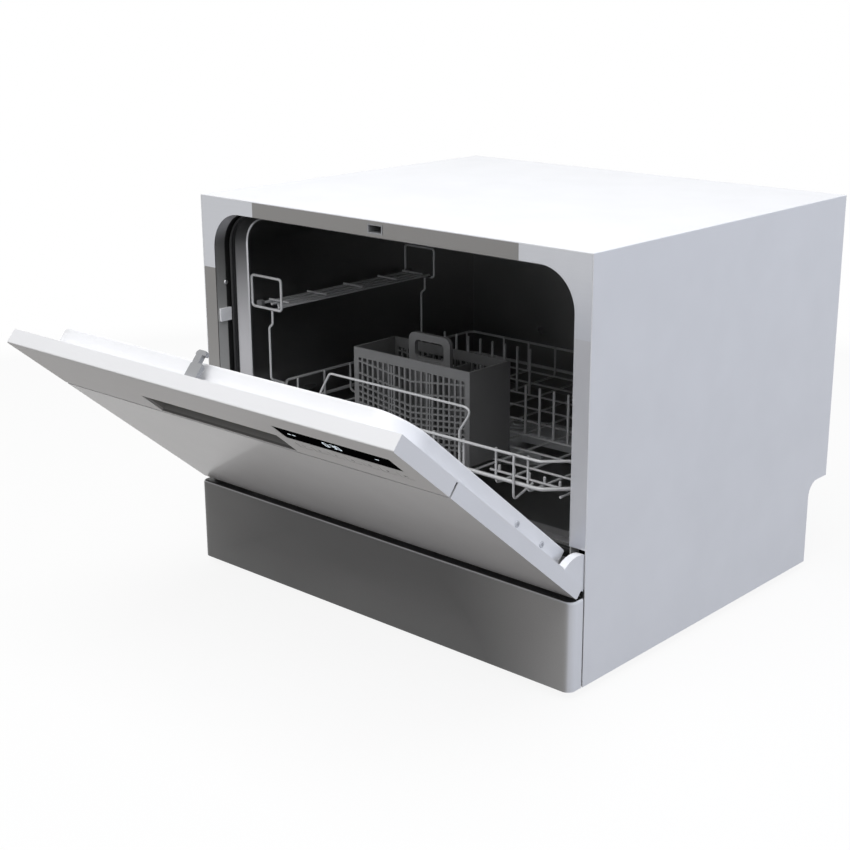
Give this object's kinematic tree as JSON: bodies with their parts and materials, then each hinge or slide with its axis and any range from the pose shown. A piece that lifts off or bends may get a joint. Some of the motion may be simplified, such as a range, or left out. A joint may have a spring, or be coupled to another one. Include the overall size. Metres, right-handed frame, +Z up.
{
  "type": "countertop dishwasher",
  "caption": "Free-standing box-shaped countertop dishwasher with a bottom-hinged front door, wire rack, cutlery basket, spray arm and rear hose fittings.",
  "frame": {"origin": "under the middle of the whole object with its door half open, at the bottom of the feet", "axes": "+X to the machine's right as seen from the front, +Y towards its back, +Z up"},
  "size_m": [0.55, 0.7393, 0.438],
  "materials": {
    "white_paint": "satin white enamel",
    "white_plastic": "satin",
    "kick_paint": "satin grey, darker over the front, light on the rounded ends",
    "stainless": "brushed",
    "bright_stainless": "polished",
    "galvanised": "spangled zinc",
    "black_rubber": "matt",
    "dark_plastic": "matt",
    "grip_plastic": "satin grey",
    "window_black": "glossy",
    "digit_white": "lit",
    "board_green": "solder mask",
    "wire_grey": "nylon coating on steel wire",
    "basket_grey": "moulded",
    "light_grey_plastic": "moulded",
    "tank_plastic": "milky",
    "blue_cap": "moulded"
  },
  "bodies": {
    "cabinet": {"top_cover": "white_paint", "side_panel_right": "white_paint", "side_panel_left": "white_paint", "rear_panel": "galvanised", "base_tray": "light_grey_plastic", "feet": "black_rubber", "kick_plate": "kick_paint", "tub_front_frame": "bright_stainless", "tub_shell": "stainless", "door_seal": "black_rubber", "lower_door_seal": "black_rubber", "door_guide_blocks": "white_plastic", "latch_catch": "light_grey_plastic", "hinge_brackets": "galvanised", "hinge_pins": "bright_stainless", "sump": "light_grey_plastic", "fine_mesh": "stainless", "spray_hub": "light_grey_plastic", "softener_tank": "tank_plastic", "wash_pump": "dark_plastic", "drain_pump": "dark_plastic", "flow_heater": "stainless", "power_board_box": "light_grey_plastic", "water_breather": "tank_plastic", "inlet_valve": "light_grey_plastic", "drain_outlet": "light_grey_plastic", "mains_gland": "dark_plastic", "cabinet_screws": "bright_stainless"},
    "door": {"door_lower_panel": "white_paint", "control_fascia": "white_plastic", "handle_pocket": "grip_plastic", "display_window": "window_black", "display_digits": "digit_white", "control_board": "board_green", "door_liner": "white_plastic", "dispenser_body": "light_grey_plastic", "latch_striker": "light_grey_plastic", "hinge_arms": "white_paint", "door_screws": "bright_stainless"},
    "latch_jaw": {"latch_jaw": "light_grey_plastic"},
    "rack": {"rack_frame": "wire_grey", "plate_tines": "wire_grey", "rack_glides": "basket_grey", "cup_shelf_frame": "wire_grey"},
    "cutlery_basket": {"cutlery_basket": "basket_grey"},
    "cup_shelf": {"cup_shelf": "wire_grey"},
    "spray_arm": {"spray_arm": "light_grey_plastic"},
    "filter_cup": {"filter_cup": "light_grey_plastic"},
    "salt_cap": {"salt_cap": "blue_cap"},
    "dispenser_lid": {"dispenser_lid": "light_grey_plastic"},
    "dispenser_button": {"dispenser_button": "basket_grey"},
    "rinse_cap": {"rinse_cap": "blue_cap"},
    "key_power": {"key_power": "white_plastic"},
    "key_program": {"key_program": "white_plastic"},
    "key_extra": {"key_extra": "white_plastic"},
    "key_half_load": {"key_half_load": "white_plastic"},
    "key_delay": {"key_delay": "white_plastic"},
    "key_lock": {"key_lock": "white_plastic"},
    "key_start": {"key_start": "white_plastic"}
  },
  "joints": [
    {"name": "door_hinge", "type": "hinge", "parent": "cabinet", "child": "door", "pos_m": [0, -0.11755, 0.1165], "axis": [1, 0, 0], "range_deg": [-50, 40]},
    {"name": "latch_jaw_slide", "type": "slide", "parent": "cabinet", "child": "latch_jaw", "axis": [1, 0, 0], "range_m": [0, 0.003], "stiffness_N_per_m": 600, "springref_m": -0.002},
    {"name": "rack_slide", "type": "slide", "parent": "cabinet", "child": "rack", "axis": [0, -1, 0], "range_m": [0, 0.045]},
    {"name": "basket_lift", "type": "slide", "parent": "rack", "child": "cutlery_basket", "axis": [0, 0, 1], "range_m": [0, 0.1]},
    {"name": "cup_shelf_fold", "type": "hinge", "parent": "rack", "child": "cup_shelf", "pos_m": [-0.232, -0.10785, 0.3107], "axis": [0, -1, 0], "range_deg": [0, 80]},
    {"name": "spray_arm_spin", "type": "hinge", "parent": "cabinet", "child": "spray_arm", "pos_m": [0, 0.13015, 0.1543], "axis": [0, 0, 1], "continuous": true},
    {"name": "filter_turn", "type": "hinge", "parent": "cabinet", "child": "filter_cup", "pos_m": [0.038, 0.09815, 0.136], "axis": [0, 0, 1], "range_deg": [0, 90]},
    {"name": "salt_cap_turn", "type": "hinge", "parent": "cabinet", "child": "salt_cap", "pos_m": [-0.15, 0.00415, 0.146], "axis": [0, 0, 1], "continuous": true},
    {"name": "dispenser_lid_hinge", "type": "hinge", "parent": "door", "child": "dispenser_lid", "pos_m": [0, -0.20103, 0.22937], "axis": [-1, 0, 0], "range_deg": [0, 105]},
    {"name": "dispenser_button_push", "type": "slide", "parent": "door", "child": "dispenser_button", "axis": [0, -0.6428, -0.766], "range_m": [0, 0.002], "stiffness_N_per_m": 500, "springref_m": -0.001},
    {"name": "rinse_cap_turn", "type": "hinge", "parent": "door", "child": "rinse_cap", "pos_m": [0.04, -0.22391, 0.24255], "axis": [0, 0.6428, 0.766], "range_deg": [0, 90]},
    {"name": "key_power_push", "type": "slide", "parent": "door", "child": "key_power", "axis": [0, 0.6428, 0.766], "range_m": [0, 0.0008], "stiffness_N_per_m": 900, "springref_m": -0.0005},
    {"name": "key_program_push", "type": "slide", "parent": "door", "child": "key_program", "axis": [0, 0.6428, 0.766], "range_m": [0, 0.0008], "stiffness_N_per_m": 900, "springref_m": -0.0005},
    {"name": "key_extra_push", "type": "slide", "parent": "door", "child": "key_extra", "axis": [0, 0.6428, 0.766], "range_m": [0, 0.0008], "stiffness_N_per_m": 900, "springref_m": -0.0005},
    {"name": "key_half_load_push", "type": "slide", "parent": "door", "child": "key_half_load", "axis": [0, 0.6428, 0.766], "range_m": [0, 0.0008], "stiffness_N_per_m": 900, "springref_m": -0.0005},
    {"name": "key_delay_push", "type": "slide", "parent": "door", "child": "key_delay", "axis": [0, 0.6428, 0.766], "range_m": [0, 0.0008], "stiffness_N_per_m": 900, "springref_m": -0.0005},
    {"name": "key_lock_push", "type": "slide", "parent": "door", "child": "key_lock", "axis": [0, 0.6428, 0.766], "range_m": [0, 0.0008], "stiffness_N_per_m": 900, "springref_m": -0.0005},
    {"name": "key_start_push", "type": "slide", "parent": "door", "child": "key_start", "axis": [0, 0.6428, 0.766], "range_m": [0, 0.0008], "stiffness_N_per_m": 900, "springref_m": -0.0005}
  ]
}
